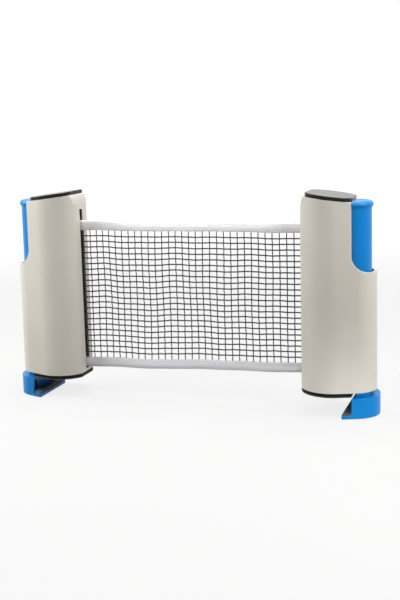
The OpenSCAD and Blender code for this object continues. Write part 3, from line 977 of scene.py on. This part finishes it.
def tubes(paths, sides):
    """Closed round tubes along paths, each a path, a direction across it and a radius.

    Returns points, faces and the along map.
    """
    points, faces, along = [], [], []
    for path, across, radius in paths:
        path = np.asarray(path)
        first = len(points)
        lengths = np.r_[0, np.cumsum(steps_of(path))]
        tangent = np.gradient(path, axis=0)
        tangent /= np.linalg.norm(tangent, axis=1)[:, None]
        side = np.cross(tangent, across)
        side /= np.linalg.norm(side, axis=1)[:, None]
        front = np.cross(side, tangent)
        for k, length in enumerate(lengths):
            for j in range(sides):
                t = 2 * math.pi * j / sides
                points.append(path[k] + radius * (math.cos(t) * side[k] + math.sin(t) * front[k]))
                along.append((length, j / sides))
        faces += ring_faces(len(path), sides, first)
        faces.append(range(first + sides - 1, first - 1, -1))
        last = first + (len(path) - 1) * sides
        faces.append(range(last, last + sides))
    return points, faces, along


def drift(x, z, out=0.0):
    """Where the point of the flat net at x and z, and out of its plane, lies when slack."""
    t = x / FLAT_X
    h = (z - HEM_LOW.z) / (NET_HIGH.z - HEM_LOW.z)
    # 0 at the two slots and 1 in the open net, which is free to ripple
    room = min(max((FLAT_X - abs(x)) / CALM_ROOM, 0.0), 1.0)
    free, inner = room * room * (3 - 2 * room), 4 * h * (1 - h)

    def wave(terms):
        return sum(share * math.sin(along * t + upwards * h + start)
                   for share, along, upwards, start in terms)

    y = looks("net").ripple * free * wave(OUT_WAVES) + out
    dx = 0.0004 * free * inner * wave(SIDE_WAVES)
    dz = 0.0006 * free * inner * wave(LIFT_WAVES) + 0.0003 * free * wave(EDGE_WAVES)
    # The lower edge is pulled up a little towards the right post
    dz += RISE * (1 - h) * min(max((t + 1) / 2, 0), 1)
    return x + dx, y, z + dz


def hang(obj, node=None):
    """Bakes a piece of the net in place and hides the node it replaces; the net stretches from the
    left post to the right one.
    """
    if node:
        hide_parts(node)
    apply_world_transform(obj)


class NETSET_OT_net(bpy.types.Operator):
    """Make the woven mesh of the net"""

    bl_idname = "netset.net"
    bl_label = "Net mesh"

    def execute(self, context):
        size = looks("net")
        radius = size.thread_width / 2
        upright = radius * 0.8
        weave = 0.9 * upright
        low, high = HEM_HIGH.z, NET_LOW.z
        left, right = NET_LOW.x + 0.0002, NET_HIGH.x - 0.0002
        column, row = (right - left) / size.columns, (high - low) / size.rows
        paths = []
        for i in range(size.columns + 1):
            x = left + THREAD_MARGIN + i * (right - left - 2 * THREAD_MARGIN) / size.columns
            path = []
            for z in np.linspace(low - THREAD_REACH, high + THREAD_REACH, size.rows * 4 + 9):
                inside = min(max(min(z - low, high - z) / 0.003, 0.0), 1.0)
                phase = math.pi * (z - low) / row + math.pi * i
                path.append(drift(x, z, weave * inside * math.cos(phase)))
            paths.append((path, (0, 1, 0), upright))
        for k in range(1, size.rows):
            path = [drift(x, low + k * row,
                          -weave * math.cos(math.pi * (x - left) / column + math.pi * k))
                    for x in np.linspace(left, right, size.columns * 4 + 1)]
            paths.append((path, (0, 1, 0), radius))
        # Half of the threads' surface, as a cloth has two sides
        area = sum(math.pi * half * float(steps_of(path).sum()) for path, _, half in paths)
        net = net_mesh_object("net_threads", *tubes(paths, 6), "thread")
        hang(net, "net_mesh")
        return {"FINISHED"}


def tape_section(reach, outwards):
    """Section of a tape folded over the net's edge: points (y, z) round it, fold outwards."""
    bore = TAPE_HALF - TAPE_WALL
    fold = (0, reach - TAPE_HALF)
    section = [(TAPE_HALF, 0.0), *arc(fold, TAPE_HALF, 0, math.pi, 9), (-TAPE_HALF, 0.0),
               (-bore, 0.0), *arc(fold, bore, math.pi, 0, 7), (bore, 0.0)]
    return [(y, outwards * z) for y, z in section]


def folded_tape(name, inner, width, outwards):
    """One folded tape, from slot to slot."""
    section = tape_section(width, outwards)
    across = np.r_[0, np.cumsum(steps_of(section))]
    rings, count = 170, len(section)
    points, along = [], []
    for x in np.linspace(NET_LOW.x, NET_HIGH.x, rings):
        for (y, z), v in zip(section, across):
            points.append(drift(x, inner + z, y))
            along.append((x, v))
    faces, end = ring_faces(rings, count), (rings - 1) * count
    for j in range(count // 2 - 1):
        a, b, c, d = j, j + 1, count - 2 - j, count - 1 - j
        faces += [(a, b, c, d), (end + d, end + c, end + b, end + a)]
    tape = net_mesh_object(name, points, faces, along, "tape")
    with Editing(tape):
        face_outwards()
    return tape


def stitches_at(z):
    """A row of stitches on both sides of the tape at one height."""
    for x in np.arange(NET_LOW.x + 0.001, NET_HIGH.x - 0.003, STITCH_PITCH):
        for face in (-1, 1):
            steps = np.linspace(0, STITCH_LENGTH, len(STITCH_LIFT))
            yield ([drift(x + step, z, face * lift)
                    for step, lift in zip(steps, STITCH_LIFT)], (0, 0, 1), STITCH_RADIUS)


class NETSET_OT_tapes(bpy.types.Operator):
    """Make the folded tapes along the net's edges and their stitching"""

    bl_idname = "netset.tapes"
    bl_label = "Net tapes"

    def execute(self, context):
        bands = (("net_tape_upper", "net_top_tape", NET_LOW.z, NET_HIGH.z, 1),
                 ("net_tape_lower", "net_bottom_tape", HEM_HIGH.z, HEM_LOW.z, -1))
        stitches = []
        for name, node, inner, outer, outwards in bands:
            width = abs(outer - inner)
            tape = folded_tape(name, inner, width, outwards)
            hang(tape, node)
            for level in (0.0016, width - 0.0022):
                stitches += stitches_at(inner + outwards * level)
        seam = net_mesh_object("net_stitching", *tubes(stitches, 5), "stitch")
        hang(seam)
        return {"FINISHED"}


def wind_cloth(name, spiral, heights, thickness, key):
    """Strips of cloth that stand on edge along the spiral."""
    points, faces, along = [], [], []
    lengths = np.r_[0, np.cumsum(steps_of(spiral))]
    for low, high in heights:
        first = len(points)
        for (x, y), u in zip(spiral, lengths):
            points += [(x, y, low), (x, y, high)]
            along += [(u, 0.0), (u, high - low)]
        for k in range(len(spiral) - 1):
            a = first + 2 * k
            faces.append((a, a + 2, a + 3, a + 1))
    obj = net_mesh_object(name, points, faces, along, key)
    modify(obj, "SOLIDIFY", thickness=thickness, offset=0)
    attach(obj, "roller")
    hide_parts("net_roll")


class NETSET_OT_winding(bpy.types.Operator):
    """Wind the rest of the net on the roller"""

    bl_idname = "netset.winding"
    bl_label = "Wound net"

    def execute(self, context):
        low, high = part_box("net_roll")
        centre = (low + high) / 2
        grow = (high.x - low.x) / 2 - 0.0004 - CORE_RADIUS
        steps = NET_TURNS * TURN_STEPS
        spiral = []
        for k in range(steps + 1):
            radius, turn = CORE_RADIUS + grow * k / steps, 2 * math.pi * k / TURN_STEPS
            spiral.append((centre.x + radius * math.cos(turn), radius * math.sin(turn)))
        length = float(steps_of(spiral).sum())
        tape = NET_HIGH.z - NET_LOW.z
        wind_cloth("wound_mesh", spiral, [(low.z + tape, high.z - tape)], 0.0003, "wound")
        wind_cloth("wound_tapes", spiral, [(low.z, low.z + tape), (high.z - tape, high.z)],
                  0.0004, "tape")
        return {"FINISHED"}


# ---- Stage ----


def lay_floor():
    """A pale floor that the camera mostly sees through, to the white surround.

    It keeps its shadows, and what goes below it when a clamp opens stays in sight.
    """
    colour = looks("studio").floor
    bpy.ops.mesh.primitive_plane_add(size=80, location=(0, 0, -0.0002))
    bake_transform()
    floor = bpy.context.object
    floor.name = "studio_floor"
    f = Finish("studio floor", Roughness=0.9, Specular_IOR_Level=0.0)
    f.colour(f.blend(f.noise(f.place(), 1.2, 2), shade(colour, 0.99), colour))
    x, y, _ = f.axes(f.place())
    away = ((x * x + y * y) ** 0.5).over(0.35, 1.5)
    through = (f.rays(*SEEING) * (away * 0.26 + 0.74)).math("MAXIMUM", f.rays("Is Shadow Ray"))
    mix = f.node("ShaderNodeMixShader", through, f.shader.outputs[0],
                 f.node("ShaderNodeBsdfTransparent").outputs[0])
    f.feed(f.tree.nodes["Material Output"].inputs["Surface"], mix.outputs[0])
    floor.data.materials.append(f.material)


def light_surround():
    """Light from all round, strong from behind the net set, that is seen as white."""
    world = bpy.data.worlds.new("studio surround")
    world.use_nodes = True
    bpy.context.scene.world = world
    w = Nodes(world.node_tree)
    background = w.tree.nodes["Background"]
    background.inputs["Color"].default_value = (1, 1, 1, 1)
    _, behind, _ = w.axes(w.node("ShaderNodeTexCoord").outputs["Generated"])
    light = behind.over(-0.1, 0.7, 0.12, 1.0) * looks("studio").world
    w.feed(background.inputs["Strength"], (WHITE - light) * w.rays(*SEEING) + light)


def place_lamps():
    for name, place, aim, width, height, power, spread in LAMPS:
        light = bpy.data.lights.new(name, "AREA")
        light.shape, light.size, light.size_y = "RECTANGLE", width, height
        light.energy = power * looks("studio").lamps
        light.spread = math.radians(spread)
        lamp = bpy.data.objects.new(name, light)
        bpy.context.scene.collection.objects.link(lamp)
        lamp.location = place
        turn = (Vector(aim) - Vector(place)).to_track_quat("-Z", "Y")
        lamp.rotation_euler = turn.to_euler()


def place_camera():
    scene = bpy.context.scene
    data = bpy.data.cameras.new("camera")
    camera = bpy.data.objects.new("camera", data)
    scene.collection.objects.link(camera)
    yaw, pitch, roll = (math.radians(a) for a in CAMERA_TURNS)
    camera.matrix_world = (
        Matrix.Translation(CAMERA_PLACE) @ Matrix.Rotation(yaw, 4, "Z")
        @ Matrix.Rotation(math.pi / 2 - pitch, 4, "X") @ Matrix.Rotation(roll, 4, "Z"))
    data.lens, data.sensor_width, data.shift_y = LENS, SENSOR, SHIFT
    data.clip_start, data.clip_end = 0.01, 50
    scene.camera = camera
    scene.view_settings.view_transform = "Standard"


class NETSET_OT_stage(bpy.types.Operator):
    """Set the floor, the light and the camera"""

    bl_idname = "netset.stage"
    bl_label = "Stage"

    def execute(self, context):
        lay_floor()
        light_surround()
        place_lamps()
        place_camera()
        return {"FINISHED"}


# ---- Panel ----

STEPS = (NETSET_OT_casings, NETSET_OT_caps, NETSET_OT_bases, NETSET_OT_handles,
         NETSET_OT_jaws, NETSET_OT_springs, NETSET_OT_fittings, NETSET_OT_winding,
         NETSET_OT_net, NETSET_OT_tapes, NETSET_OT_stage)


class NETSET_PT_panel(bpy.types.Panel):
    """Lists the steps that dress the net set"""

    bl_label = "Net Set"
    bl_idname = "NETSET_PT_panel"
    bl_space_type = "VIEW_3D"
    bl_region_type = "UI"
    bl_category = "Net Set"

    def draw(self, context):
        for group in GROUPS:
            settings = getattr(context.scene, group)
            for name in settings.bl_rna.properties.keys():
                if name not in {"rna_type", "name"}:
                    self.layout.prop(settings, name)
        for step in STEPS:
            self.layout.operator(step.bl_idname)


CLASSES = (*GROUPS.values(), *STEPS, NETSET_PT_panel)


def register():
    for cls in CLASSES:
        bpy.utils.register_class(cls)
    for name, group in GROUPS.items():
        setattr(bpy.types.Scene, name, bpy.props.PointerProperty(type=group))


def unregister():
    for name in GROUPS:
        delattr(bpy.types.Scene, name)
    for cls in reversed(CLASSES):
        bpy.utils.unregister_class(cls)


def main():
    register()
    for step in STEPS:
        getattr(bpy.ops.netset, step.bl_idname.split(".")[1])()
    bpy.context.view_layer.update()


if __name__ == "__main__":
    main()
